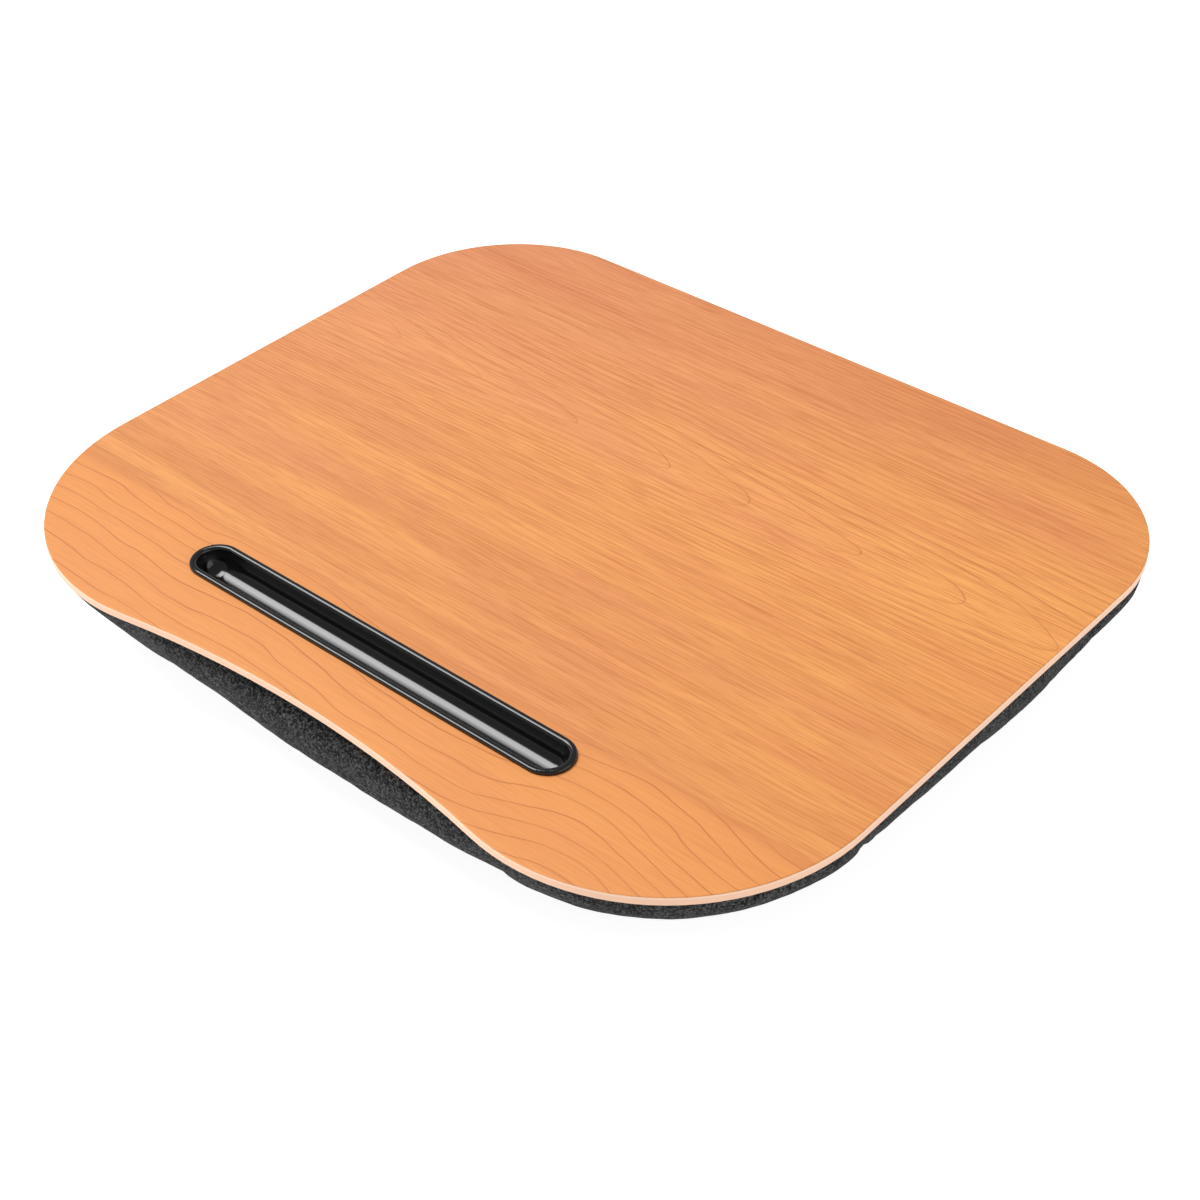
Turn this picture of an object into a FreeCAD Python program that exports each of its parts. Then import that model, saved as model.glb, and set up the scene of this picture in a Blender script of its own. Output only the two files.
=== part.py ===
import FreeCAD, Part
import math
import os
import Sketcher

# Lap desk: a wood-look board with a drop-in pen tray, on a fleece cushion filled with loose beads.
# Millimetres. +X is the user's right, +Y is away from the user and +Z is up.
# The origin is on the floor, under the middle of the board.

SIZES = {
    # Board: fibreboard with a printed foil pressed over its top and its edge
    "top_height": 60.0,
    "board_width": 480.0,
    "board_depth": 398.0,
    "board_thickness": 4.4,
    "back_radius": 84.0,
    "front_radius": 106.0,
    "front_hollow": 12.4,
    "arris_radius": 0.7,
    "foil_thickness": 0.3,
    "backing_thickness": 0.2,
    # Pen tray: a round-bottomed trough hung in a slot by its rim, tray_margin behind the hollow
    "tray_length": 242.8,
    "tray_width": 25.7,
    "tray_margin": 44.3,
    "rim_height": 2.0,
    "rim_round": 1.2,
    "lip_round": 1.6,
    "trough_radius": 9.15,
    "trough_drop": 2.7,
    "tray_wall": 1.5,
    "slot_clearance": 0.35,
    # Cushion: its widest line, how far it tucks in to the seam above and draws in to the floor below
    "side_inset": 4.5,
    "front_inset": 9.0,
    "back_inset": 4.5,
    "cushion_front_radius": 106.0,
    "cushion_back_radius": 86.0,
    "corner_growth": 15.0,
    "front_bow": 1.3,
    "seam_hollow": 6.0,
    "girth_drop": 10.0,
    "side_tuck": 7.0,
    "front_tuck": 10.0,
    "side_draw": 72.0,
    "front_draw": 61.0,
    "back_draw": 66.0,
    "floor_cut": 0.5,
    "cut_overrun": 5.0,
    # Cushion: its layers, from the outside in
    "fleece_thickness": 2.0,
    "layer_gap": 0.3,
    "panel_thickness": 0.8,
    "liner_thickness": 0.4,
    "bead_gap": 0.2,
    "thread_width": 0.7,
    "thread_gap": 0.1,
    # Glue: squeezed beads of hot melt, one ring and straight stripes across, the first near the back edge
    "glue_thickness": 0.3,
    "glue_width": 9.0,
    "glue_inset": 10.0,
    "stripe_length": 300.0,
    "stripe_pitch": 80.0,
    "stripe_margin": 49.0,
}
UPPER_STEPS = 5
LOWER_STEPS = 12
LOFT_DEGREE = 3
GLUE_STRIPES = 4
HALF_TURN = 180.0
WHOLE_TURN = 360.0
LEVEL_TOLERANCE = 0.001
CUBIC_MM_IN_CM = 1000.0


class Size:
    """A length that knows its value now and the expression that keeps it bound to the sheet."""

    def __init__(self, value, text):
        self.value = value
        self.text = text

    def joined(self, sign, other, value):
        """The result of one sum, with both texts inside brackets."""
        other_text = other.text if isinstance(other, Size) else str(other)
        return Size(value, f"({self.text} {sign} {other_text})")

    def __add__(self, other):
        return self.joined("+", other, self.value + plain(other))

    def __sub__(self, other):
        return self.joined("-", other, self.value - plain(other))

    def __mul__(self, other):
        return self.joined("*", other, self.value * plain(other))

    def __truediv__(self, other):
        return self.joined("/", other, self.value / plain(other))


def plain(number):
    """The bare value of a Size, or the number itself."""
    return number.value if isinstance(number, Size) else number


doc = FreeCAD.newDocument("LapDesk")
sheet = doc.addObject("Spreadsheet::Sheet", "Sizes")
for row, (alias, value) in enumerate(SIZES.items(), start=1):
    sheet.set(f"A{row}", alias)
    sheet.set(f"B{row}", str(value))
    sheet.setAlias(f"B{row}", alias)
doc.recompute()


def size(alias):
    """A driving dimension from the sheet."""
    return Size(float(sheet.get(alias)), f"Sizes.{alias}")


def bind(thing, place, measure):
    """Ties one property of a feature to the sheet."""
    thing.setExpression(place, measure.text)


def body_plane(body, role):
    """One of a body's own origin planes."""
    return next(feature for feature in body.Origin.OriginFeatures if feature.Role == role)


def new_body(name, y, z):
    """An empty body whose origin stands at (0, y, z)."""
    body = doc.addObject("PartDesign::Body", name)
    body.Label = name
    if y is not None:
        bind(body, "Placement.Base.y", y)
    bind(body, "Placement.Base.z", z)
    return body


def new_sketch(body, name, drop=None):
    """A sketch on the body's horizontal plane, or a drop below it."""
    sketch = body.newObject("Sketcher::SketchObject", name)
    sketch.AttachmentSupport = [(body_plane(body, "XY_Plane"), "")]
    sketch.MapMode = "FlatFace"
    if drop is not None:
        bind(sketch, "AttachmentOffset.Base.z", drop * -1)
    return sketch


def name_last(sketch, index, label, measure):
    """Names a dimension of the sketch and ties it to the sheet."""
    sketch.renameConstraint(index, label)
    bind(sketch, f"Constraints.{label}", measure)


class Bend:
    """One arc of an outline. Its centre lies at (x_side * x, y_side * y), and y is None on the X axis."""

    def __init__(self, x_side, x, y_side, y, radius, start, end):
        self.x_side = x_side
        self.x = x
        self.y_side = y_side
        self.y = y
        self.radius = radius
        self.start = start
        self.end = end

    def centre(self):
        y = 0.0 if self.y is None else self.y_side * self.y.value
        return FreeCAD.Vector(self.x_side * self.x.value, y, 0)

    def point(self, angle):
        run = FreeCAD.Vector(math.cos(angle), math.sin(angle), 0)
        return self.centre() + run * self.radius.value


def draw_bend(sketch, bend, label):
    """Adds an arc, counterclockwise from start to end, with its centre and radius tied to the sheet."""
    circle = Part.Circle(bend.centre(), FreeCAD.Vector(0, 0, 1), bend.radius.value)
    arc = sketch.addGeometry(Part.ArcOfCircle(circle, bend.start, bend.end))
    for axis, side, measure in (("X", bend.x_side, bend.x), ("Y", bend.y_side, bend.y)):
        if measure is None:
            sketch.addConstraint(Sketcher.Constraint("PointOnObject", arc, 3, -1))
            continue
        ends = (-1, 1, arc, 3) if side > 0 else (arc, 3, -1, 1)
        index = sketch.addConstraint(Sketcher.Constraint("Distance" + axis, *ends, measure.value))
        name_last(sketch, index, f"{label}_{axis.lower()}", measure)
    index = sketch.addConstraint(Sketcher.Constraint("Radius", arc, bend.radius.value))
    name_last(sketch, index, f"{label}_radius", bend.radius)
    return arc


def draw_chain(sketch, label, bends):
    """Adds a row of arcs, each joined to the next by a tangent line."""
    arcs = [draw_bend(sketch, bend, f"{label}{number}") for number, bend in enumerate(bends)]
    for number, after in enumerate(bends[1:]):
        join_bends(sketch, bends[number], after, arcs[number], arcs[number + 1])
    return arcs


def join_bends(sketch, before, after, arc_before, arc_after):
    """Draws the tangent line from the end of one arc to the start of another."""
    line = sketch.addGeometry(Part.LineSegment(before.point(before.end), after.point(after.start)))
    sketch.addConstraint(Sketcher.Constraint("Tangent", arc_before, 2, line, 1))
    sketch.addConstraint(Sketcher.Constraint("Tangent", line, 2, arc_after, 1))


def draw_outline(sketch, inset):
    """The board's outline, drawn in by inset: three straight sides and a hollow front edge."""
    half_width = size("board_width") / 2
    half_depth = size("board_depth") / 2
    back = size("back_radius")
    front = size("front_radius")
    hollow = size("front_hollow")
    reach = half_width - front
    hollow_radius = (reach * reach + hollow * hollow) / (hollow * 2) - front
    lean = math.asin(reach.value / (front + hollow_radius).value)
    down = 1.5 * math.pi
    bends = [
        Bend(1, reach, -1, half_depth - front, front - inset, down - lean, 2 * math.pi),
        Bend(1, half_width - back, 1, half_depth - back, back - inset, 0, math.pi / 2),
        Bend(-1, half_width - back, 1, half_depth - back, back - inset, math.pi / 2, math.pi),
        Bend(-1, reach, -1, half_depth - front, front - inset, math.pi, down + lean),
    ]
    arcs = draw_chain(sketch, "corner", bends)
    # The front edge is an arc about a point far in front, so its ends run against the loop
    span = (hollow_radius + inset).value
    middle = FreeCAD.Vector(0, (hollow - half_depth - hollow_radius).value, 0)
    circle = Part.Circle(middle, FreeCAD.Vector(0, 0, 1), span)
    edge = sketch.addGeometry(Part.ArcOfCircle(circle, math.pi / 2 - lean, math.pi / 2 + lean))
    sketch.addConstraint(Sketcher.Constraint("Tangent", edge, 1, arcs[0], 1))
    sketch.addConstraint(Sketcher.Constraint("Tangent", edge, 2, arcs[-1], 2))
    index = sketch.addConstraint(Sketcher.Constraint("Radius", edge, span))
    name_last(sketch, index, "front_edge", hollow_radius + inset)


def half_run():
    """From the tray's middle to the centre of its round end."""
    return (size("tray_length") - size("tray_width")) / 2


def draw_slot(sketch, y, radius):
    """A slot with round ends, parallel to X, at y in front of the sketch's origin."""
    run = half_run()
    quarter = math.pi / 2
    right = Bend(1, run, -1, y, radius, -quarter, quarter)
    left = Bend(-1, run, -1, y, radius, quarter, 3 * quarter)
    ends = draw_chain(sketch, "end", [right, left])
    join_bends(sketch, left, right, ends[1], ends[0])


def add_pad(body, sketch, name, length):
    """A plate under the sketch, length thick."""
    pad = body.newObject("PartDesign::Pad", name)
    pad.Profile = sketch
    pad.Reversed = True
    bind(pad, "Length", length)
    doc.recompute()
    return pad


def add_pocket(body, sketch, name, depth):
    """A hollow under the sketch, depth deep."""
    pocket = body.newObject("PartDesign::Pocket", name)
    pocket.Profile = sketch
    bind(pocket, "Length", depth)
    doc.recompute()
    return pocket


def level_face(feature, z):
    """The largest level face of the feature at that height."""
    level = []
    for face in feature.Shape.Faces:
        box = face.BoundBox
        if abs(box.ZMin - z) < LEVEL_TOLERANCE and abs(box.ZMax - z) < LEVEL_TOLERANCE:
            level.append(face)
    return max(level, key=lambda face: face.Area)


def round_edges(body, feature, name, radius, chosen):
    """Rounds those of the feature's edges that are among the chosen ones."""
    edges = []
    for number, edge in enumerate(feature.Shape.Edges, start=1):
        if any(edge.isSame(other) for other in chosen):
            edges.append(f"Edge{number}")
    fillet = body.newObject("PartDesign::Fillet", name)
    fillet.Base = (feature, edges)
    bind(fillet, "Radius", radius)
    doc.recompute()
    return fillet


slot_radius = size("trough_radius") + size("tray_wall") + size("slot_clearance")
board_top = size("top_height")
tray_setback = size("board_depth") / 2 - size("front_hollow") - size("tray_margin")


# Board core: fibreboard, square at the underside, its top arris eased under the foil
core = new_body("board_core", None, board_top - size("foil_thickness"))
core_sketch = new_sketch(core, "CoreOutline")
draw_outline(core_sketch, size("foil_thickness"))
draw_slot(core_sketch, tray_setback, slot_radius)
core_thickness = size("board_thickness") - size("foil_thickness") - size("backing_thickness")
core_pad = add_pad(core, core_sketch, "CorePanel", core_thickness)
core_arris = size("arris_radius") - size("foil_thickness")
round_edges(core, core_pad, "CoreArris", core_arris, level_face(core_pad, 0).OuterWire.Edges)


# Wood foil: one sheet over the top, down the edge to the underside, open at the slot
foil = new_body("wood_foil", None, board_top)
foil_sketch = new_sketch(foil, "FoilOutline")
draw_outline(foil_sketch, Size(0.0, "0"))
draw_slot(foil_sketch, tray_setback, slot_radius)
foil_pad = add_pad(foil, foil_sketch, "FoilBlock", size("board_thickness"))
hollow_sketch = new_sketch(foil, "FoilInside", size("foil_thickness"))
draw_outline(hollow_sketch, size("foil_thickness"))
foil_depth = size("board_thickness") - size("foil_thickness")
foil_pocket = add_pocket(foil, hollow_sketch, "FoilHollow", foil_depth)
foil_edges = level_face(foil_pocket, 0).OuterWire.Edges
foil_rounded = round_edges(foil, foil_pocket, "FoilArris", size("arris_radius"), foil_edges)
foil_inner_edges = level_face(foil_rounded, -size("foil_thickness").value).OuterWire.Edges
round_edges(foil, foil_rounded, "FoilInnerArris", core_arris, foil_inner_edges)


# Backing sheet: paper on the underside, inside the foil's turned-down edge
backing = new_body("backing_sheet", None, board_top - size("foil_thickness") - core_thickness)
backing_sketch = new_sketch(backing, "BackingOutline")
draw_outline(backing_sketch, size("foil_thickness"))
draw_slot(backing_sketch, tray_setback, slot_radius)
add_pad(backing, backing_sketch, "BackingPanel", size("backing_thickness"))


# Pen tray: a rim with rounded ends, a short upright wall, and below it a half-round trough
def draw_half_capsule(sketch, radius):
    """Half of a slot, on the X axis: turned about that axis it makes a tube with round ends."""
    quarter = math.pi / 2
    run = half_run()
    right = Bend(1, run, 1, None, radius, 0, quarter)
    left = Bend(-1, run, 1, None, radius, quarter, 2 * quarter)
    arcs = [draw_bend(sketch, right, "right"), draw_bend(sketch, left, "left")]
    top = sketch.addGeometry(Part.LineSegment(right.point(quarter), left.point(quarter)))
    base = sketch.addGeometry(Part.LineSegment(left.point(2 * quarter), right.point(0)))
    sketch.addConstraint(Sketcher.Constraint("Tangent", arcs[0], 2, top, 1))
    sketch.addConstraint(Sketcher.Constraint("Tangent", top, 2, arcs[1], 1))
    sketch.addConstraint(Sketcher.Constraint("Coincident", arcs[1], 2, base, 1))
    sketch.addConstraint(Sketcher.Constraint("Coincident", base, 2, arcs[0], 1))
    sketch.addConstraint(Sketcher.Constraint("PointOnObject", base, 1, -1))
    sketch.addConstraint(Sketcher.Constraint("PointOnObject", base, 2, -1))


def turn_below(body, kind, name, sketch):
    """Turns the half capsule through the half turn that lies below its axis."""
    turned = body.newObject(kind, name)
    turned.Profile = sketch
    turned.ReferenceAxis = (sketch, ["H_Axis"])
    turned.Angle = HALF_TURN
    turned.Reversed = True
    doc.recompute()
    return turned


trough_drop = size("trough_drop")
tray = new_body("pen_tray", tray_setback * -1, board_top + size("rim_height"))
rim_sketch = new_sketch(tray, "RimOutline")
draw_slot(rim_sketch, None, size("tray_width") / 2)
add_pad(tray, rim_sketch, "Rim", size("rim_height"))
neck_sketch = new_sketch(tray, "NeckOutside")
draw_slot(neck_sketch, None, size("trough_radius") + size("tray_wall"))
add_pad(tray, neck_sketch, "Neck", trough_drop)
shell_sketch = new_sketch(tray, "TroughOutside", trough_drop)
draw_half_capsule(shell_sketch, size("trough_radius") + size("tray_wall"))
turn_below(tray, "PartDesign::Revolution", "Trough", shell_sketch)
mouth_sketch = new_sketch(tray, "NeckInside")
draw_slot(mouth_sketch, None, size("trough_radius"))
add_pocket(tray, mouth_sketch, "NeckHollow", trough_drop)
bore_sketch = new_sketch(tray, "TroughInside", trough_drop)
draw_half_capsule(bore_sketch, size("trough_radius"))
bore = turn_below(tray, "PartDesign::Groove", "TroughHollow", bore_sketch)
rim_edges = level_face(bore, 0).OuterWire.Edges
rounded_rim = round_edges(tray, bore, "RimRound", size("rim_round"), rim_edges)
rim_top = level_face(rounded_rim, 0)
mouth = [wire for wire in rim_top.Wires if not wire.isSame(rim_top.OuterWire)]
round_edges(tray, rounded_rim, "LipRound", size("lip_round"), mouth[0].Edges)


# The cushion's pieces follow one form: level sections of straight sides, round corners and a bowed front
cushion_top = board_top - size("board_thickness") - size("glue_thickness")
girth_drop = size("girth_drop").value
belly = (cushion_top + size("floor_cut")).value - girth_drop


def section_wire(half_width, front, back, front_corner, back_corner, bow, z):
    """A level outline, clockwise from the right side: front and back are distances from the middle."""
    up = FreeCAD.Vector(0, 0, z)
    half = math.pi / 2

    def point(x, y):
        return FreeCAD.Vector(x, y, 0) + up

    def corner(x, y, radius, start):
        bends = [start, start - half / 2, start - half]
        return Part.Arc(*[point(x + radius * math.cos(a), y + radius * math.sin(a)) for a in bends])

    front_x = half_width - front_corner
    back_x = half_width - back_corner
    front_y = front_corner - front
    back_y = back - back_corner
    runs = [
        Part.LineSegment(point(half_width, back_y), point(half_width, front_y)),
        corner(front_x, front_y, front_corner, 0),
        Part.Arc(point(front_x, -front), point(0, -front - bow), point(-front_x, -front)),
        corner(-front_x, front_y, front_corner, -half),
        Part.LineSegment(point(-half_width, front_y), point(-half_width, back_y)),
        corner(-back_x, back_y, back_corner, 2 * half),
        Part.LineSegment(point(-back_x, back), point(back_x, back)),
        corner(back_x, back_y, back_corner, half),
    ]
    return Part.Wire([run.toShape() for run in runs])


girth_side = (size("board_width") / 2 - size("side_inset")).value
girth_front = (size("board_depth") / 2 - size("front_inset")).value
girth_back = (size("board_depth") / 2 - size("back_inset")).value
front_corner = size("cushion_front_radius").value
back_corner = size("cushion_back_radius").value
side_tuck = size("side_tuck").value
front_tuck = size("front_tuck").value
front_bow = size("front_bow").value


def seam_wire(inset, z):
    """The outline in which the cushion meets the board, drawn in by inset."""
    pull = side_tuck + inset
    front_pull = front_tuck + inset
    return section_wire(
        girth_side - pull,
        girth_front - front_pull,
        girth_back - pull,
        front_corner - pull,
        back_corner - pull,
        -size("seam_hollow").value,
        z,
    )


def cushion_form(skin):
    """The cushion's form, its whole surface drawn in by skin. Its top face lies skin below z = 0."""
    levels = []
    hollow = size("seam_hollow").value
    for step in range(UPPER_STEPS):
        angle = math.pi / 2 * step / UPPER_STEPS
        slack = 1 - math.sin(angle)
        pull = (side_tuck - skin) * slack + skin
        front_pull = (front_tuck - skin) * slack + skin
        levels.append(
            section_wire(
                girth_side - pull,
                girth_front - front_pull,
                girth_back - pull,
                front_corner - pull,
                back_corner - pull,
                front_bow - (front_bow + hollow) * slack,
                -girth_drop + (girth_drop - skin) * math.cos(angle),
            )
        )
    for step in range(LOWER_STEPS + 1):
        angle = math.pi / 2 * step / LOWER_STEPS
        slack = 1 - math.cos(angle)
        growth = size("corner_growth").value * math.sin(angle) - skin
        levels.append(
            section_wire(
                girth_side - skin - (size("side_draw").value - skin) * slack,
                girth_front - skin - (size("front_draw").value - skin) * slack,
                girth_back - skin - (size("back_draw").value - skin) * slack,
                front_corner + growth,
                back_corner + growth,
                front_bow,
                -girth_drop - (belly - skin) * math.sin(angle),
            )
        )
    return Part.makeLoft(levels, True, False, False, LOFT_DEGREE)


def capsule(extra):
    """The trough's outside, grown by extra, as a whole tube with ball-shaped ends."""
    radius = (size("trough_radius") + size("tray_wall")).value + extra
    run = half_run().value
    middle = FreeCAD.Vector(0, -tray_setback.value, trough_axis)
    along = FreeCAD.Vector(run, 0, 0)
    across = FreeCAD.Vector(0, radius, 0)
    end = FreeCAD.Vector(radius, 0, 0)
    slant = (end + across) * math.cos(math.pi / 4)
    mirrored = FreeCAD.Vector(-slant.x, slant.y, 0)
    profile = Part.Wire(
        [
            Part.Arc(middle + along + end, middle + along + slant, middle + along + across).toShape(),
            Part.LineSegment(middle + along + across, middle - along + across).toShape(),
            Part.Arc(middle - along + across, middle - along + mirrored, middle - along - end).toShape(),
            Part.LineSegment(middle - along - end, middle + along + end).toShape(),
        ]
    )
    return Part.Face(profile).revolve(middle, FreeCAD.Vector(1, 0, 0), WHOLE_TURN)


def slab(low, high):
    """A block a little wider than the whole desk, between two heights."""
    half_width = size("board_width").value / 2 + cut_overrun
    half_depth = size("board_depth").value / 2 + cut_overrun
    corner = FreeCAD.Vector(-half_width, -half_depth, low)
    return Part.makeBox(2 * half_width, 2 * half_depth, high - low, corner)


def prism(wire, height):
    """The wire's face, raised by height."""
    return Part.Face(wire).extrude(FreeCAD.Vector(0, 0, height))


def add_soft(name, shape):
    """A soft piece, whose own origin lies in the middle of the cushion's top face."""
    feature = doc.addObject("Part::Feature", name)
    feature.Label = name
    feature.Shape = shape
    feature.Placement.Base = FreeCAD.Vector(0, 0, cushion_top.value)
    return feature


tray_top = size("glue_thickness") + size("board_thickness") + size("rim_height")
trough_axis = (tray_top - trough_drop).value
floor_level = -cushion_top.value
cut_overrun = size("cut_overrun").value
fleece = size("fleece_thickness").value
layer_gap = size("layer_gap").value
panel_thickness = size("panel_thickness").value
liner = size("liner_thickness").value


# Cushion cover: fleece sides and bottom in one, open at the top where the panel is sewn in
outside = cushion_form(0).common(slab(floor_level, trough_axis))
opening_depth = fleece + cut_overrun
opening = prism(seam_wire(fleece, -opening_depth), opening_depth)
cover = add_soft("cushion_cover", outside.cut(cushion_form(fleece)).cut(opening))


# Cushion top panel: thin cloth, glued under the board, pushed down where the trough hangs into it
panel_flat = prism(seam_wire(fleece + layer_gap, -panel_thickness), panel_thickness)
panel_dent = capsule(layer_gap + panel_thickness).common(slab(floor_level, 0))
panel = add_soft("cushion_top_panel", panel_flat.fuse(panel_dent).cut(capsule(layer_gap)).removeSplitter())


# Seam thread: runs round inside the seam, just under the edge of the top panel, with a square section
thread_width = size("thread_width").value
thread_inset = fleece + layer_gap + thread_width
thread_bottom = -panel_thickness - size("thread_gap").value - thread_width
thread_ring = prism(seam_wire(thread_inset, thread_bottom), thread_width)
thread_middle = prism(seam_wire(thread_inset + thread_width, thread_bottom), thread_width)
thread = add_soft("seam_thread", thread_ring.cut(thread_middle))


# Inner bag: a thin closed bag that holds the beads, dented under the trough
bag_skin = fleece + layer_gap
bag_outside = cushion_form(bag_skin)
bag_dent = layer_gap + panel_thickness + layer_gap
bag_wall = capsule(bag_dent + liner).common(bag_outside)
bag_shell = bag_outside.cut(cushion_form(bag_skin + liner)).fuse(bag_wall)
bag = add_soft("inner_bag", bag_shell.cut(capsule(bag_dent)).removeSplitter())


# Bead filling: the mass of loose beads inside the bag
bead_gap = size("bead_gap").value
beads = cushion_form(bag_skin + liner + bead_gap)
filling = add_soft("bead_filling", beads.cut(capsule(bag_dent + liner + bead_gap)))


# Glue beads: a ring near the seam and stripes across, behind the tray
glue_thickness = size("glue_thickness").value
glue_width = size("glue_width").value
glue_inset = size("glue_inset").value
glue_ring = prism(seam_wire(glue_inset, 0), glue_thickness)
glue_ring = glue_ring.cut(prism(seam_wire(glue_inset + glue_width, 0), glue_thickness))
glue_pieces = [glue_ring]
stripe_length = size("stripe_length").value
first_stripe = (size("board_depth") / 2 - size("stripe_margin")).value
for number in range(GLUE_STRIPES):
    stripe_y = first_stripe - number * size("stripe_pitch").value - glue_width / 2
    stripe_corner = FreeCAD.Vector(-stripe_length / 2, stripe_y, 0)
    glue_pieces.append(Part.makeBox(stripe_length, glue_width, glue_thickness, stripe_corner))
glue = add_soft("glue_beads", Part.makeCompound(glue_pieces))


doc.recompute()
for thing in doc.Objects:
    if "Invalid" in thing.State or "Error" in thing.State:
        raise RuntimeError(f"{thing.Label} could not be built: {thing.State}")

subparts = [core, foil, backing, tray, glue, panel, cover, thread, bag, filling]
os.makedirs("parts", exist_ok=True)
for subpart in subparts:
    shape = subpart.Shape
    if shape.isNull() or not shape.isValid():
        raise RuntimeError(f"{subpart.Label} has no sound shape")
    volume = shape.Volume / CUBIC_MM_IN_CM
    print(f"{subpart.Label}: {len(shape.Solids)} solids, {volume:.2f} cm3")
for subpart in subparts:
    subpart.Shape.exportStep(os.path.join("parts", f"{subpart.Label}.step"))
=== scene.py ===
"""The looks of a lap desk: a wood-foil board with a gloss pen tray, on a fleece cushion full of beads."""
import math

import bpy
import numpy as np
from mathutils import Matrix, Vector, noise


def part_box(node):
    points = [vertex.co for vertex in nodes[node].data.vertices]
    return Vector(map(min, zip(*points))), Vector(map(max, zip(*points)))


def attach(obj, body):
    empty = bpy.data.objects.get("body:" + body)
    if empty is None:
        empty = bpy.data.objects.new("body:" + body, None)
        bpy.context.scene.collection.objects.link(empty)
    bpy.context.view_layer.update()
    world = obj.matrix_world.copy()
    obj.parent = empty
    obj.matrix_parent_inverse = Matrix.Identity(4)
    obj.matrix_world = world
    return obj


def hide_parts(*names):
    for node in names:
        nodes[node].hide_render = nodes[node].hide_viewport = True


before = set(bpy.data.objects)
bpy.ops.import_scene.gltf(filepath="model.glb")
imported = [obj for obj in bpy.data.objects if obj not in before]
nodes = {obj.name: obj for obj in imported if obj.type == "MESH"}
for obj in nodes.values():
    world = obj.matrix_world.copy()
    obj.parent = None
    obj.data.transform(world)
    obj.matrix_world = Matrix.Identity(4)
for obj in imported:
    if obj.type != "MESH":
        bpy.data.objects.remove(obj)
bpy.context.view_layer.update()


# Board facing. A printed, satin foil with a cherry grain is heated, laid over the board and sucked
# down round its edge, so one print covers the top and the edge. The print holds the rings of a plain
# sawn plank: slim flames that open to the left, close lines beside them, and wide lines at the front.
# Light is painted over the print: a painted sheen towards the back left, and a paler edge with a
# painted highlight along its arris.
board_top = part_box("wood_foil")[1].z * 1000


class Value:
    """A number that varies over a surface. Python's own operators add the Math nodes."""

    def __init__(self, tree, socket):
        self.tree = tree
        self.socket = socket

    def math(self, operation, *items):
        node = self.tree.nodes.new("ShaderNodeMath")
        node.operation = operation
        for place, item in enumerate(items):
            if isinstance(item, Value):
                self.tree.links.new(item.socket, node.inputs[place])
            else:
                node.inputs[place].default_value = item
        return Value(self.tree, node.outputs[0])

    def __add__(self, other):
        return self.math("ADD", self, other)

    __radd__ = __add__

    def __sub__(self, other):
        return self.math("SUBTRACT", self, other)

    def __rsub__(self, other):
        return self.math("SUBTRACT", other, self)

    def __mul__(self, other):
        return self.math("MULTIPLY", self, other)

    __rmul__ = __mul__

    def __truediv__(self, other):
        return self.math("DIVIDE", self, other)

    def __pow__(self, other):
        return self.math("POWER", self, other)

    def __abs__(self):
        return self.math("ABSOLUTE", self)


class Finish:
    """A material in the making. Its node method adds any node that a sum can't."""

    def __init__(self, owner, tree):
        self.owner = owner
        self.tree = tree

    @classmethod
    def of_material(cls, name):
        material = bpy.data.materials.new(name)
        material.use_nodes = True
        return cls(material, material.node_tree)

    def node(self, kind, settings=None, output=0, **sockets):
        """Adds a node. Underscores stand for a socket's spaces, a number after "at" for its index."""
        node = self.tree.nodes.new(kind)
        for name, setting in (settings or {}).items():
            setattr(node, name, setting)
        for name, item in sockets.items():
            self.feed(node, int(name[2:]) if name[:2] == "at" else name.replace("_", " "), item)
        return Value(self.tree, node.outputs[output])

    def feed(self, node, place, item):
        """Links a value to a socket, or sets the socket to a number or a colour."""
        if isinstance(item, Value):
            self.tree.links.new(item.socket, node.inputs[place])
        else:
            node.inputs[place].default_value = (*item, 1) if type(item) is tuple else item

    def coat(self, **sockets):
        """Feeds the surface shader itself."""
        for name, item in sockets.items():
            self.feed(self.tree.nodes["Principled BSDF"], name.replace("_", " "), item)

    def place(self, coordinates="Object", scale=1000):
        """The place on the object in millimetres, as three values."""
        vector = self.node("ShaderNodeTexCoord", output=coordinates)
        split = self.node("ShaderNodeSeparateXYZ", Vector=vector).socket.node
        return [Value(self.tree, socket) * scale for socket in split.outputs]

    def noise(self, x, y, z, detail=2, roughness=0.5):
        """Smooth noise about 0.5. The coordinates are counted in wavelengths."""
        vector = self.node("ShaderNodeCombineXYZ", X=x, Y=y, Z=z)
        return self.node("ShaderNodeTexNoise", Vector=vector, Scale=1, Detail=detail, Roughness=roughness)

    def step(self, value, low, high):
        """0 at low, 1 at high and smooth between them."""
        settings = {"interpolation_type": "SMOOTHSTEP"}
        return self.node("ShaderNodeMapRange", settings, Value=value, From_Min=low, From_Max=high)

    def mix(self, share, first, second):
        """A colour, first where share is 0 and second where it is 1."""
        return self.node("ShaderNodeMix", {"data_type": "RGBA"}, output=2, at0=share, at6=first, at7=second)

    def bump(self, height, distance, strength=1):
        """A normal from a height of 0 to 1 that stands for distance in metres."""
        return self.node("ShaderNodeBump", Height=height, Distance=distance, Strength=strength)

    def wear(self, *pieces):
        """Gives the finish to these objects."""
        for piece in pieces:
            piece.data.materials.clear()
            piece.data.materials.append(self.owner)


flame_axis = 60.0
flame_depth = 42.0
flame_slope = 0.048
ring_width = 3.0
fine_rings = 2.6
front_line = -123.0
front_ring_width = 9.5
front_start = -260.0
point_place = 158.0
point_reach = 75.0
row_line = -52.0
patch_place = 105.0
patch_line = 163.0

foil = Finish.of_material("cherry_foil")
x, y, z = foil.place()
drop = board_top - z
run = y + drop * y.math("SIGN", y)
sway = foil.noise(x / 210, run / 85, 0.3, 1) - 0.5
tremble = foil.noise(x / 30, run / 11, 4.1, 3, 0.6) - 0.5

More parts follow.
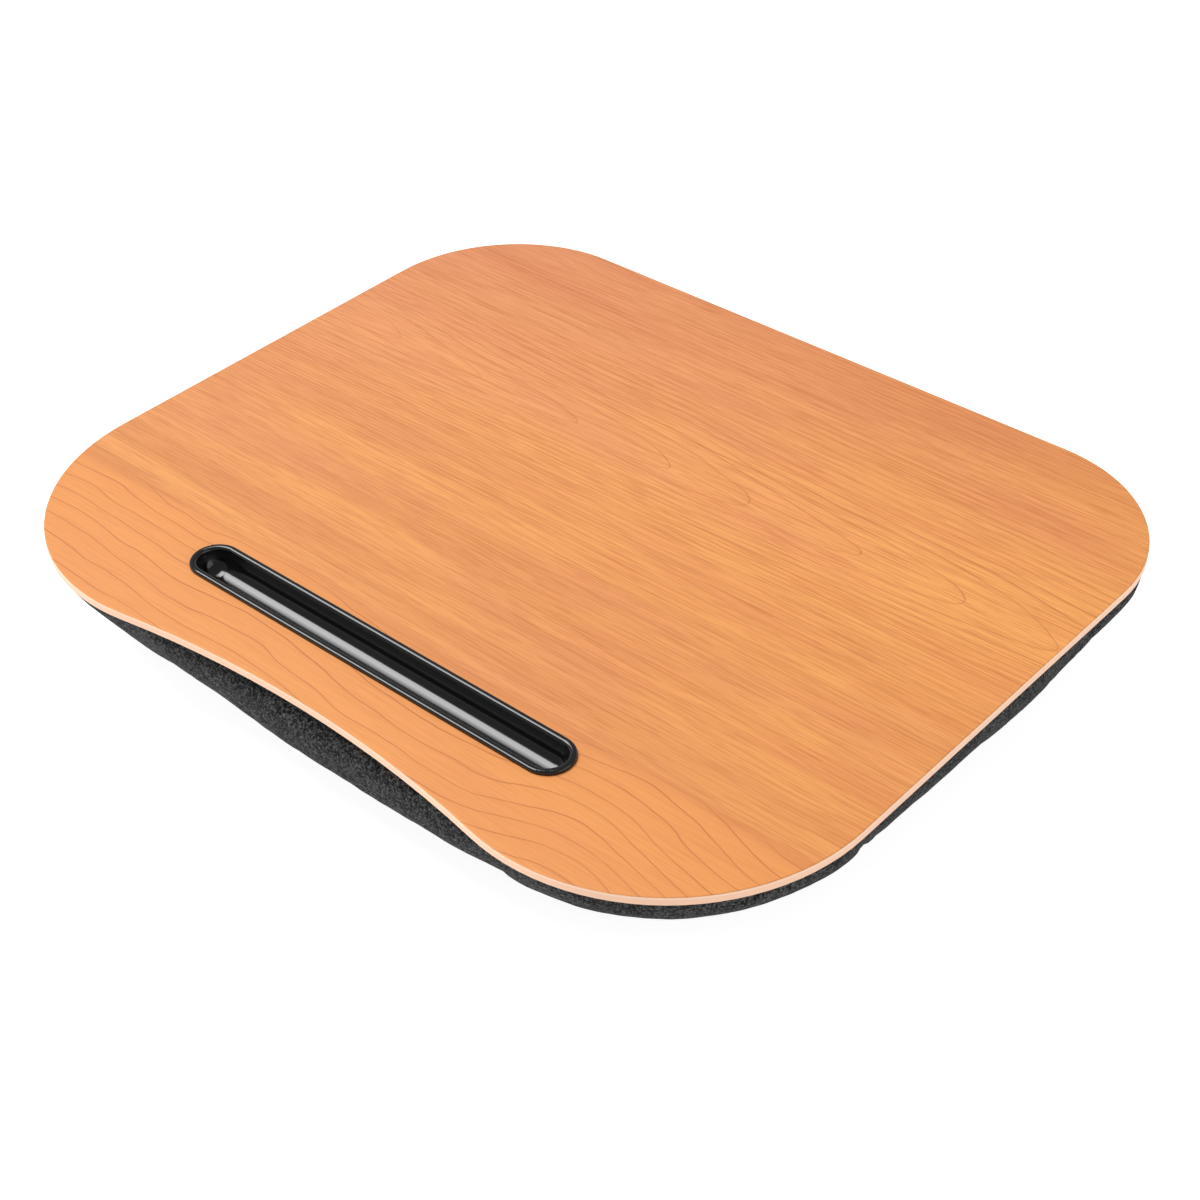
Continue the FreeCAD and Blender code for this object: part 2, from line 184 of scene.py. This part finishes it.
# Rings of the main plank, seen as long slim flames about flame_axis
across = run + sway * 12 + tremble * 1.3 - flame_axis
across = across * 1.12 - abs(across) * 0.20
depth = x * flame_slope + flame_depth + (foil.noise(x / 120, run / 50, 8.6, 2) - 0.5) * 4
ring = (across * across + depth * depth) ** 0.5 / ring_width
ring_slope = (across * across + 5.0) ** 0.5 / (flame_depth * ring_width)
phase = ring.math("FRACT", ring)
behind = (1 - phase) / ring_slope
fine_ring = ring * fine_rings + tremble * 1.5
fine_phase = ring.math("FRACT", fine_ring)
fine_behind = (1 - fine_phase) / ring_slope / fine_rings

# Rings of the front of the board, far apart and wavy, which rise to a point near the right end
front_sway = foil.noise(x / 95, run / 55, 2.9, 2, 0.45) - 0.5
front_tremble = foil.noise(x / 24, run / 16, 6.1, 3, 0.55) - 0.5
point_share = foil.step(abs(x - point_place), point_reach, 0)
front_across = run - front_start - point_share * 13 + front_sway * 24 + front_tremble * 1.8 + x * 0.03
front_ring = front_across / front_ring_width
front_behind = (1 - front_ring.math("FRACT", front_ring)) * front_ring_width
front_share = foil.step(run + sway * 20, front_line + 6, front_line - 6)

plank_only = 1 - front_share
late_wood = foil.step(behind, 1.15, 0.15) * plank_only + foil.step(front_behind, 0.9, 0.1) * front_share
ring_shade = foil.step(behind, 6.0, 0.0) * plank_only + foil.step(front_behind, 7.0, 0.0) * front_share
fine_wood = foil.step(fine_behind, 0.8, 0.1) * plank_only
flame_share = foil.step(abs(run - flame_axis - 5), 62, 25)
line_share = foil.step(foil.noise(x / 260, run / 14, 2.2, 1), 0.30, 0.75)
fibre = foil.noise(x / 60, run, 5.5, 3, 0.7)
pores = foil.step(foil.noise(x / 26, run / 0.7, 7.7, 2, 0.5), 0.50, 0.61)
cloud = foil.noise(x / 130, run / 34, 1.1, 2, 0.4)
band = foil.noise(x / 420, run / 15, 3.7, 2, 0.5)

# Blotches with upright sides: a row across the middle, and a patch near the back edge
figure = foil.step(foil.noise(x / 7, run / 24, 6.4, 3, 0.65), 0.44, 0.62)
row_share = foil.step(abs(run - row_line), 15, 5) * foil.step(abs(x), 180, 120)
patch_share = foil.step(abs(x - patch_place), 75, 35) * foil.step(abs(run - patch_line), 34, 16)
scattered = foil.step(foil.noise(x / 70, run / 30, 9.3, 2), 0.50, 0.68)
figure_share = scattered * 0.5 + row_share * 0.8 + patch_share

gold = (0.805, 0.350, 0.094)
orange = (0.785, 0.320, 0.090)
rose_and_sheen = (0.650, 0.245, 0.128)
amber = (0.735, 0.266, 0.062)
brown = (0.470, 0.120, 0.024)
painted_edge_light = (0.930, 0.660, 0.480)
wood = foil.mix(foil.step(band * 0.6 + cloud * 0.4, 0.38, 0.64), gold, orange)
wood = foil.mix(foil.step(cloud, 0.42, 0.72) * 0.18, wood, rose_and_sheen)
wood = foil.mix(figure * figure_share * 0.13, wood, rose_and_sheen)
# Painted sheen: towards the back left the foil is mixed towards rose, which stands in for the pale
# reflection that the satin foil shows there at a grazing view.
wood = foil.mix(foil.step(y + x * -0.5, -40, 330) * 0.68, wood, rose_and_sheen)
wood = foil.mix(front_share * 0.7, wood, amber)
plank_share = 1 - front_share * 0.6
wood = foil.mix(foil.step(fibre, 0.42, 0.66) * plank_share * 0.27, wood, brown)
wood = foil.mix(pores * plank_share * 0.37, wood, brown)
wood = foil.mix(fine_wood * line_share * 0.14, wood, brown)
wood = foil.mix(ring_shade * 0.04, wood, brown)
line_strength = line_share * 0.24 + flame_share * 0.28 + front_share * 0.64 + 0.07
wood = foil.mix(late_wood * line_strength, wood, brown)
# Painted light: the edge is painted much paler than the top, which stands in for the low side lamps that
# light it. Below about 1 mm it turns rosier again, so the pale band along the arris is a painted highlight.
wood = foil.mix(foil.step(drop, 0.12, 0.5) * 0.92, wood, painted_edge_light)
wood = foil.mix(foil.step(drop, 0.9, 1.6) * 0.28, wood, rose_and_sheen)
grain_height = fibre * 0.5 - pores * 0.5 - late_wood * 0.3
foil.coat(
    Base_Color=wood,
    Roughness=0.42 + fibre * 0.12 - late_wood * 0.05,
    Normal=foil.bump(grain_height, 0.00005, 0.5),
    IOR=1.45,
)
foil.wear(nodes["wood_foil"])


# Board core. Medium-density fibreboard, pressed from fine brown wood fibre and sawn to shape. It
# shows only in the walls of the slot, once the tray is lifted out.
core = Finish.of_material("raw_fibreboard")
x, y, z = core.place()
fibres = core.noise(x / 1.3, y / 1.3, z / 0.4, 4, 0.7)
flecks = core.step(core.noise(x / 0.5, y / 0.5, z / 0.25, 2), 0.6, 0.75)
core_colour = core.mix(fibres, (0.36, 0.235, 0.135), (0.50, 0.35, 0.215))
core.coat(
    Base_Color=core.mix(flecks * 0.5, core_colour, (0.24, 0.14, 0.075)),
    Roughness=0.85 + fibres * 0.1,
    Normal=core.bump(fibres, 0.0002, 0.7),
)
core.wear(nodes["board_core"])


# Backing sheet. Resin-soaked paper, pressed on the underside so that the board doesn't warp. It is
# seen from below, between the foil's turned-down edge and the cushion.
paper = Finish.of_material("backing_paper")
x, y, z = paper.place()
pulp = paper.noise(x / 2.5, y / 2.5, z, 4, 0.65)
paper.coat(
    Base_Color=paper.mix(pulp, (0.56, 0.50, 0.41), (0.68, 0.62, 0.53)),
    Roughness=0.62 + pulp * 0.12,
    Normal=paper.bump(pulp, 0.00008, 0.5),
)
paper.wear(nodes["backing_sheet"])


# Pen tray. Injection-moulded from black plastic in a polished tool: a round-bottomed trough with
# ball-shaped ends, hung in the slot by its rim. It is only dropped in. Its steep upper walls are
# duller than the rest, as the tool is hard to polish there.
gloss = Finish.of_material("gloss_black_plastic")
x, y, z = gloss.place()
ripple = gloss.noise(x / 30, y / 9, z / 9, 2)
haze = gloss.noise(x / 3, y / 3, z / 3, 4, 0.6)
below_rim = gloss.step(z, board_top + 0.5, board_top - 0.2)
dull_wall = below_rim * gloss.step(z, board_top - 5.0, board_top - 2.5)
gloss.coat(
    Base_Color=gloss.mix(haze, (0.0035, 0.0035, 0.004), (0.006, 0.006, 0.0065)),
    Roughness=0.085 + haze * 0.07 + dull_wall * 0.35,
    Normal=gloss.bump(ripple, 0.00010, 0.25),
    IOR=1.53,
)
gloss.wear(nodes["pen_tray"])


# Glue. Hot melt, laid in beads on the backing and squeezed flat: it holds the cushion to the board.
melt = Finish.of_material("hot_melt")
x, y, z = melt.place()
smear = melt.noise(x / 6, y / 6, z / 6, 3)
melt.coat(
    Base_Color=melt.mix(smear, (0.62, 0.52, 0.33), (0.78, 0.70, 0.52)),
    Roughness=0.30 + smear * 0.15,
    Normal=melt.bump(smear, 0.0003, 0.5),
    Subsurface_Weight=0.2,
)
melt.wear(nodes["glue_beads"])


# Cushion cover. Black short-pile fleece, cut and sewn as one bag, open at the top where its edge is
# seamed to the panel. The loose beads fill it out, so its sides swell past the seam and draw in
# towards the flat that it settles on. Sizes are in millimetres.
cushion_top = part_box("cushion_cover")[1].z * 1000
girth_side = 235.5
girth_front = 190.0
girth_back = 194.5
front_corner = 106.0
back_corner = 86.0
corner_growth = 15.0
front_bow = 1.3
seam_hollow = 6.0
girth_drop = 10.0
side_tuck = 7.0
front_tuck = 10.0
side_draw = 72.0
front_draw = 61.0
back_draw = 66.0
floor_cut = 0.5
fleece_thickness = 2.0
nap_depth = 0.6
cloth_travel = 1.6
cloth_moments = 20
columns = 42
upper_rows = 6
lower_rows = 24


def level_outline(half_width, front, back, corner_front, corner_back, bow):
    """Points of one level section, counterclockwise from the right end of the front edge."""
    share = np.linspace(0, 1, columns, endpoint=False)

    def corner(x, y, radius, start):
        angle = share * math.pi / 2 + start
        return np.stack([x + radius * np.cos(angle), y + radius * np.sin(angle)], 1)

    def straight(start, end):
        return np.asarray(start) + (np.asarray(end) - np.asarray(start)) * share[:, None]

    front_x = half_width - corner_front
    back_x = half_width - corner_back
    front_y = corner_front - front
    back_y = back - corner_back
    edge = straight((-front_x, -front), (front_x, -front))
    edge[:, 1] -= bow * (1 - (edge[:, 0] / front_x) ** 2)
    return np.concatenate(
        [
            corner(front_x, front_y, corner_front, -math.pi / 2),
            straight((half_width, front_y), (half_width, back_y)),
            corner(back_x, back_y, corner_back, 0),
            straight((back_x, back), (-back_x, back)),
            corner(-back_x, back_y, corner_back, math.pi / 2),
            straight((-half_width, back_y), (-half_width, front_y)),
            corner(-front_x, front_y, corner_front, math.pi),
            edge,
        ]
    )


def seam_outline(inset, slack=1.0):
    """The level section at the seam, drawn in by inset. At slack 0 it is the widest section instead."""
    pull = (side_tuck - inset) * slack + inset if slack < 1 else side_tuck + inset
    front_pull = (front_tuck - inset) * slack + inset if slack < 1 else front_tuck + inset
    return level_outline(
        girth_side - pull,
        girth_front - front_pull,
        girth_back - pull,
        front_corner - pull,
        back_corner - pull,
        front_bow - (front_bow + seam_hollow) * slack,
    )


def cushion_side(skin):
    """The cushion's side, its surface drawn in by skin, as rings of points from the seam to the floor."""
    rings = []
    for step in range(upper_rows):
        angle = math.pi / 2 * step / upper_rows
        slack = 1 - math.sin(angle)
        outline = seam_outline(skin, slack) if step else seam_outline(0)
        rings.append((outline, cushion_top - girth_drop + (girth_drop - skin) * math.cos(angle)))
    belly = cushion_top + floor_cut - girth_drop
    floor_angle = math.asin(min(1.0, (cushion_top - girth_drop) / (belly - skin)))
    for step in range(lower_rows):
        angle = floor_angle * step / (lower_rows - 1)
        slack = 1 - math.cos(angle)
        growth = corner_growth * math.sin(angle) - skin
        outline = level_outline(
            girth_side - skin - (side_draw - skin) * slack,
            girth_front - skin - (front_draw - skin) * slack,
            girth_back - skin - (back_draw - skin) * slack,
            front_corner + growth,
            back_corner + growth,
            front_bow,
        )
        rings.append((outline, cushion_top - girth_drop - (belly - skin) * math.sin(angle)))
    return [raised(outline, height) for outline, height in rings]


def raised(outline, height):
    """A level outline as points at a height."""
    return np.column_stack([outline, np.full(len(outline), height)])


def closing_rings(ring, count):
    """Smaller copies of a ring towards its middle, which close a level face with quads."""
    middle = ring.mean(axis=0)
    shares = np.linspace(1, 0.03, count + 1)[1:]
    return [middle + (ring - middle) * share for share in shares]


def ring_mesh(name, rings, close_first, close_last):
    """A smooth object whose faces join each ring of points to the next. An end may be closed."""
    across = len(rings[0])
    faces = []
    for row in range(len(rings) - 1):
        for place in range(across):
            first = row * across + place
            after = row * across + (place + 1) % across
            faces.append((first, first + across, after + across, after))
    if close_first:
        faces.append(tuple(range(across)))
    if close_last:
        last = (len(rings) - 1) * across
        faces.append(tuple(range(last + across - 1, last - 1, -1)))
    mesh = bpy.data.meshes.new(name)
    mesh.from_pydata((np.concatenate(rings) / 1000).tolist(), [], faces)
    mesh.shade_smooth()
    piece = bpy.data.objects.new(name, mesh)
    bpy.context.scene.collection.objects.link(piece)
    return piece


def read_points(mesh):
    """A mesh's points in millimetres."""
    points = np.empty(len(mesh.vertices) * 3)
    mesh.vertices.foreach_get("co", points)
    return points.reshape(-1, 3) * 1000


def hump(distance, width):
    """1 at no distance, falling smoothly to 0."""
    return np.exp(-((distance / width) ** 2))


def settled(points):
    """Points of the side, moved out where the beads lie thick and in where they lie thin."""
    spots = [
        ((229, 148, 50), 34, 6.5),
        ((234, 112, 26), 30, -3.6),
        ((232, 36, 28), 46, 2.3),
        ((224, -108, 28), 52, -2.6),
        ((150, -180, 26), 36, -1.4),
        ((96, -182, 24), 20, 2.0),
        ((-66, -184, 24), 30, -2.0),
        ((-138, -182, 22), 20, -1.4),
        ((-184, -174, 48), 32, 7.5),
        ((-235, 30, 30), 60, 1.0),
        ((60, 194, 30), 60, 0.9),
        ((-110, 194, 30), 50, -0.8),
    ]
    belt = np.clip((cushion_top - points[:, 2]) / 6, 0, 1) * np.clip(points[:, 2] / 10, 0, 1)
    out = points[:, :2] / np.maximum(np.linalg.norm(points[:, :2], axis=1), 1e-6)[:, None]
    push = np.zeros(len(points))
    for spot, width, amount in spots:
        push += amount * hump(np.linalg.norm(points - spot, axis=1), width)
    moved = points.copy()
    moved[:, :2] += out * (push * belt)[:, None]
    return moved


def waviness(points, length, seed):
    """Smooth noise from -1 to 1 at each point, with a wavelength in millimetres."""
    shift = Vector((seed, seed, seed))
    return np.array([noise.noise(Vector(point) / length + shift) for point in points])


def blown_up(piece, held_low, held_high):
    """Lets the beads press the cloth out, by cloth simulation. Points outside the held heights stay."""
    start = read_points(piece.data)
    group = piece.vertex_groups.new(name="held")
    held = np.nonzero((start[:, 2] < held_low) | (start[:, 2] > held_high))[0]
    group.add(held.tolist(), 1.0, "REPLACE")
    cloth = piece.modifiers.new("fleece", "CLOTH")
    cloth.settings.use_pressure = True
    cloth.settings.uniform_pressure_force = 4.0
    cloth.settings.vertex_group_mass = "held"
    cloth.settings.shrink_min = -0.012
    cloth.settings.bending_stiffness = 2.0
    cloth.settings.effector_weights.gravity = 0
    cloth.point_cache.frame_end = cloth_moments
    for moment in range(1, cloth_moments + 1):
        bpy.context.scene.frame_set(moment)
    seen = piece.evaluated_get(bpy.context.evaluated_depsgraph_get())
    swollen = read_points(seen.data)
    piece.modifiers.remove(cloth)
    piece.vertex_groups.clear()
    bpy.context.scene.frame_set(1)
    return start, swollen


def doubled(grid):
    """A grid of points with a point added between each two, on a smooth curve through its neighbours."""
    for axis in (1, 0):
        before, after, beyond = (np.roll(grid, shift, axis) for shift in (1, -1, -2))
        middle = (9 * (grid + after) - before - beyond) / 16
        if axis == 0:
            middle[0] = (grid[0] + grid[1]) / 2
            middle[-2] = (grid[-2] + grid[-1]) / 2
        mixed = np.stack([grid, middle], axis + 1)
        grid = mixed.reshape(grid.shape[0] * (2 - axis), grid.shape[1] * (1 + axis), 3)
    return grid[:-1]


cover_rings = cushion_side(nap_depth)
floor_rings = closing_rings(cover_rings[-1], 10)
top_rings = closing_rings(cover_rings[0], 8)[::-1]
cover = ring_mesh("cushion_fleece", top_rings + cover_rings + floor_rings, True, True)
points = read_points(cover.data)
start, swollen = blown_up(cover, 0.3, cushion_top - 1.2)
shift = swollen - start
length = np.linalg.norm(shift, axis=1)
shift *= (np.minimum(length, cloth_travel) / np.maximum(length, 1e-6))[:, None]
points = start + shift
points = settled(points)
bpy.data.objects.remove(cover)
grid = doubled(points.reshape(-1, len(cover_rings[0]), 3)[len(top_rings) :])
points = grid.reshape(-1, 3)
swell = waviness(points, 24, 3.0) * 0.45 + waviness(points, 7, 8.0) * 0.25
belt_share = np.sin(np.pi * np.clip(points[:, 2] / cushion_top, 0, 1))
out = points[:, :2] / np.maximum(np.linalg.norm(points[:, :2], axis=1), 1)[:, None]
points[:, :2] += out * (swell * belt_share)[:, None]
points[:, 2] = np.maximum(points[:, 2], 0)
cover = ring_mesh("cushion_fleece", list(points.reshape(grid.shape)), False, True)
thickness = cover.modifiers.new("cloth_thickness", "SOLIDIFY")
thickness.thickness = fleece_thickness / 1000
thickness.offset = -1

fleece = Finish.of_material("black_fleece")
x, y, z = fleece.place()
pile = fleece.noise(x / 1.5, y / 1.5, z / 1.5, 3, 0.75)
speck = fleece.noise(x / 0.8, y / 0.8, z / 0.8, 2, 0.6)
tufts = fleece.noise(x / 4.5, y / 4.5, z / 4.5, 3, 0.6)
nap = fleece.noise(x / 38, y / 38, z / 38, 2)
lift = pile * 0.65 + speck * 0.35 + (tufts - 0.5) * 0.12
pile_tip = fleece.step(lift, 0.43, 0.64)
fleece_colour = fleece.mix(pile_tip, (0.0010, 0.0010, 0.0012), (0.112, 0.110, 0.108))
fleece.coat(
    Base_Color=fleece.mix(fleece.step(nap, 0.35, 0.65) * 0.3, fleece_colour, (0.012, 0.0125, 0.0135)),
    Roughness=0.95,
    Normal=fleece.bump(lift, 0.0014, 0.9),
    Sheen_Weight=0.06,
    Sheen_Roughness=0.6,
    Sheen_Tint=(0.60, 0.62, 0.66),
    Specular_IOR_Level=0.08,
)
fleece.wear(cover)
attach(cover, "desk")
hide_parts("cushion_cover")


# Cushion top panel. Thin black non-woven cloth, cut flat, sewn into the top of the cover and glued
# under the board. The trough pushes it down into a trench.
layer_gap = 0.3
panel_thickness = 0.8
tray_low, tray_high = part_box("pen_tray")
trough_outside = 10.65
trough_end = 13.9
trench_edge = 1.5
trough_axis = tray_low.z * 1000 + trough_outside
trough_line = (tray_low.y + tray_high.y) / 2 * 1000
trough_run = tray_high.x * 1000 - trough_end


def trenched(points, spare):
    """Points pressed down to stay clear of the trough by spare, with a soft edge to the trench."""
    beyond = np.maximum(np.abs(points[:, 0]) - trough_run, 0)
    reach = beyond**2 + (points[:, 1] - trough_line) ** 2
    bowl = trough_axis - np.sqrt(np.maximum((trough_outside + spare) ** 2 - reach, 0))
    share = np.clip(0.5 + 0.5 * (bowl - points[:, 2]) / trench_edge, 0, 1)
    moved = points.copy()
    moved[:, 2] = bowl * (1 - share) + points[:, 2] * share - trench_edge * share * (1 - share)
    return moved


def trenched_piece(name, rings, spare, close_last):
    """A piece from rings, its top pressed down under the trough. Its last ring may be closed."""
    return ring_mesh(name, [trenched(ring, spare) for ring in rings], True, close_last)


panel_edge = seam_outline(fleece_thickness + layer_gap)
panel_rings = [raised(panel_edge, cushion_top)]
panel_rings = closing_rings(panel_rings[0], 70)[::-1] + panel_rings
panel = trenched_piece("cushion_panel_cloth", panel_rings, layer_gap, False)
panel_cloth = panel.modifiers.new("cloth_thickness", "SOLIDIFY")
panel_cloth.thickness = panel_thickness / 1000
panel_cloth.offset = -1

weave = Finish.of_material("black_nonwoven")
x, y, z = weave.place()
web = weave.noise(x / 1.6, y / 1.6, z / 1.6, 4, 0.7)
dimple_x = x.math("PINGPONG", x, 1.1) / 1.1
dimple_y = y.math("PINGPONG", y, 1.1) / 1.1
dimples = weave.step(dimple_x * dimple_y, 0.35, 0.7)
weave.coat(
    Base_Color=weave.mix(web * 0.6 + dimples * 0.2, (0.014, 0.014, 0.015), (0.050, 0.050, 0.053)),
    Roughness=0.72 + web * 0.15,
    Normal=weave.bump(web * 0.4 - dimples * 0.6, 0.0002, 0.8),
)
weave.wear(panel)
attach(panel, "desk")
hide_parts("cushion_top_panel")


# Seam thread. Black polyester, in short lockstitches that run round inside the seam.
thread_width = 0.6
thread_inset = 1.05
thread_drop = 0.45
stitch_pitch = 4.0
stitch_length = 3.3
section_count = 7
spoke_count = 6


def even_path(outline, pitch):
    """Points along a closed outline at even distances, and the directions there."""
    loop = np.concatenate([outline, outline[:1]])
    marks = np.concatenate([[0], np.cumsum(np.linalg.norm(np.diff(loop, axis=0), axis=1))])
    count = int(marks[-1] / pitch)
    at = np.arange(count) * marks[-1] / count
    places = np.stack([np.interp(at, marks, loop[:, axis]) for axis in (0, 1)], 1)
    ahead = np.roll(places, -1, axis=0) - np.roll(places, 1, axis=0)
    return places, ahead / np.linalg.norm(ahead, axis=1)[:, None]


stitch_inset = fleece_thickness + layer_gap + thread_inset
places, directions = even_path(seam_outline(stitch_inset), stitch_pitch)
stitch_height = cushion_top - panel_thickness - thread_drop
sections = np.linspace(-1, 1, section_count)
spokes = np.linspace(0, 2 * math.pi, spoke_count, endpoint=False)
stitch_points = []
stitch_faces = []
for (place_x, place_y), (along_x, along_y) in zip(places, directions):
    start = len(stitch_points)
    for section in sections:
        radius = thread_width / 2 * max(0.25, math.sqrt(1 - (section * 0.97) ** 2))
        arch = -0.12 * section**2
        for spoke in spokes:
            sideways = radius * math.cos(spoke)
            stitch_points.append(
                (
                    place_x + along_x * section * stitch_length / 2 - along_y * sideways,
                    place_y + along_y * section * stitch_length / 2 + along_x * sideways,
                    stitch_height + arch + radius * 0.85 * math.sin(spoke),
                )
            )
    for row in range(section_count - 1):
        for spoke in range(spoke_count):
            first = start + row * spoke_count + spoke
            after = start + row * spoke_count + (spoke + 1) % spoke_count
            stitch_faces.append((first, after, after + spoke_count, first + spoke_count))
    last = start + (section_count - 1) * spoke_count
    stitch_faces.append(tuple(range(start + spoke_count - 1, start - 1, -1)))
    stitch_faces.append(tuple(range(last, last + spoke_count)))
stitch_mesh = bpy.data.meshes.new("seam_stitches")
stitch_mesh.from_pydata((np.array(stitch_points) / 1000).tolist(), [], stitch_faces)
stitch_mesh.shade_smooth()
stitches = bpy.data.objects.new("seam_stitches", stitch_mesh)
bpy.context.scene.collection.objects.link(stitches)

yarn = Finish.of_material("black_thread")
x, y, z = yarn.place()
ply = yarn.noise(x / 0.5, y / 0.5, z / 0.2, 2)
yarn.coat(
    Base_Color=yarn.mix(ply, (0.016, 0.016, 0.018), (0.050, 0.050, 0.055)),
    Roughness=0.55 + ply * 0.2,
    Normal=yarn.bump(ply, 0.0001, 0.8),
)
yarn.wear(stitches)
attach(stitches, "desk")
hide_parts("seam_thread")


# Inner bag. Thin white non-woven cloth, sewn shut round the beads so that the cover can be closed
# over them without spilling. It lies slack against the cover, in shallow creases.
bag_skin = fleece_thickness + layer_gap
liner_thickness = 0.4
lump_length = 30


def layer_rings(skin, lumps):
    """A closed inner layer of the cushion, its surface drawn in by up to lumps more, in soft bumps."""
    side = [settled(ring) for ring in cushion_side(skin)]
    side[0] = raised(seam_outline(skin), cushion_top - skin)
    side = [np.minimum(ring, np.array([1e9, 1e9, cushion_top - skin])) for ring in side]
    rings = closing_rings(side[0], 60)[::-1] + side + closing_rings(side[-1], 24)
    points = np.concatenate(rings)
    points[:, 2] += skin * (points[:, 2] < 0.3)
    inward = lumps * (0.5 + 0.5 * waviness(points, lump_length, 5.0))
    distance = np.maximum(np.linalg.norm(points[:, :2], axis=1), 1)
    points[:, :2] -= points[:, :2] / distance[:, None] * inward[:, None]
    points[:, 2] -= inward * (points[:, 2] > cushion_top - skin - 0.5) * 0.6
    return list(points.reshape(len(rings), -1, 3))


bag = trenched_piece("bead_bag_cloth", layer_rings(bag_skin, 0.8), 1.4, True)
liner = Finish.of_material("white_nonwoven")
x, y, z = liner.place()
mesh_noise = liner.noise(x / 1.8, y / 1.8, z / 1.8, 4, 0.7)
liner.coat(
    Base_Color=liner.mix(mesh_noise, (0.62, 0.62, 0.60), (0.78, 0.78, 0.76)),
    Roughness=0.75 + mesh_noise * 0.12,
    Normal=liner.bump(mesh_noise, 0.0002, 0.8),
)
liner.wear(bag)
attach(bag, "desk")
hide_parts("inner_bag")


# Bead filling. Loose beads of expanded polystyrene, 3 to 4 mm across, poured into the bag.
bead_size = 3.6
filling_skin = bag_skin + liner_thickness + 0.4
filling = trenched_piece("polystyrene_beads", layer_rings(filling_skin, 0.9), 2.2, True)
beads = Finish.of_material("polystyrene_beads")
x, y, z = beads.place()
vector = beads.node("ShaderNodeCombineXYZ", X=x / bead_size, Y=y / bead_size, Z=z / bead_size)
gap = beads.node("ShaderNodeTexVoronoi", {"feature": "F1"}, Vector=vector, Scale=1, Randomness=0.75)
bead_dome_and_gap_shade = 1 - beads.step(gap, 0.1, 0.75)
beads.coat(
    # Painted shade: each bead is white on its dome and grey towards the gaps between beads, where shade
    # falls.
    Base_Color=beads.mix(bead_dome_and_gap_shade, (0.45, 0.45, 0.46), (0.88, 0.88, 0.88)),
    Roughness=0.55 + bead_dome_and_gap_shade * 0.1,
    Normal=beads.bump(bead_dome_and_gap_shade, 0.0015, 1.0),
    Subsurface_Weight=0.2,
)
beads.wear(filling)
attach(filling, "desk")
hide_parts("bead_filling")


# Studio. A seamless white sweep, lit from below like a light table, so that only a faint shadow is
# left. Three boxes above the left end draw the bright band in the trough, in steps. Low boxes light
# the fleece, and the sky is brighter near the horizon than overhead, so that the tray stays black.
reach = 6.0
floor_glow = 0.87
floor_mesh = bpy.data.meshes.new("floor")
corners = [(-reach, -reach, 0), (reach, -reach, 0), (reach, reach, 0), (-reach, reach, 0)]
floor_mesh.from_pydata(corners, [], [(0, 1, 2, 3)])
floor = bpy.data.objects.new("floor", floor_mesh)
bpy.context.scene.collection.objects.link(floor)
sweep = Finish.of_material("white_sweep")
x, y, z = sweep.place()
sweep.coat(
    Base_Color=sweep.mix(sweep.noise(x / 400, y / 400, z, 2), (0.50,) * 3, (0.52,) * 3),
    Roughness=0.9,
    Specular_IOR_Level=0.1,
    Emission_Color=(1.0, 1.0, 1.0),
    Emission_Strength=floor_glow,
)
sweep.wear(floor)


def soft_box(name, azimuth, elevation, distance, width, height, radiance):
    """An area light that faces the desk. Azimuth turns from +X towards +Y, in degrees."""
    lamp = bpy.data.lights.new(name, "AREA")
    lamp.shape = "RECTANGLE"
    lamp.size = width
    lamp.size_y = height
    lamp.energy = radiance * width * height * math.pi
    box = bpy.data.objects.new(name, lamp)
    turn = math.radians(azimuth)
    rise = math.radians(elevation)
    away = Vector((math.cos(turn) * math.cos(rise), math.sin(turn) * math.cos(rise), math.sin(rise)))
    box.location = Vector((0, 0, board_top / 1000)) + away * distance
    box.rotation_euler = away.to_track_quat("Z", "Y").to_euler()
    bpy.context.scene.collection.objects.link(box)
    return box


soft_box("key_box", 176, 60, 6.0, 4.8, 3.2, 3.4)
soft_box("key_step", 182, 60, 6.0, 3.6, 3.2, 3.2)
soft_box("key_core", 189, 60, 6.0, 2.4, 3.2, 3.4)
left_box = soft_box("left_box", 215, 6, 2.6, 1.8, 0.6, 8.0)
left_box.visible_glossy = False
soft_box("right_box", 12, 26, 2.4, 2.0, 1.3, 1.2)

world = bpy.data.worlds.new("studio")
world.use_nodes = True
sky = Finish(world, world.node_tree)
x, y, z = sky.place("Generated", 1)
overhead = sky.step(z, 0.15, 0.50)
sky_colour = sky.mix(overhead, (0.66, 0.66, 0.66), (0.30, 0.30, 0.30))
sky.feed(world.node_tree.nodes["Background"], "Color", sky_colour)
bpy.context.scene.world = world
bpy.context.scene.view_settings.view_transform = "Standard"


# Camera. It stands in front of the desk, to its right, and looks down on the middle of the board.
camera_azimuth = math.radians(42.852)
camera_elevation = math.radians(35.881)
camera_distance = 1.08283
camera_pan = 0.00808
camera_tilt = -0.04055
camera_roll = math.radians(-1.734)

lens = bpy.data.cameras.new("camera")
lens.lens = 65.504
lens.sensor_width = 36.0
camera = bpy.data.objects.new("camera", lens)
bpy.context.scene.collection.objects.link(camera)
up_axis = Vector((0, 0, 1))
back = Vector(
    (
        math.sin(camera_azimuth) * math.cos(camera_elevation),
        -math.cos(camera_azimuth) * math.cos(camera_elevation),
        math.sin(camera_elevation),
    )
)
right = (-back).cross(up_axis).normalized()
aim = (right * camera_pan + right.cross(-back) * camera_tilt - back).normalized()
level_right = aim.cross(up_axis).normalized()
turned = Matrix((level_right, level_right.cross(aim), -aim)).transposed()
camera.matrix_world = Matrix.Translation(Vector((0, 0, board_top / 1000)) + back * camera_distance) @ (
    turned @ Matrix.Rotation(camera_roll, 3, "Z")
).to_4x4()
bpy.context.scene.camera = camera
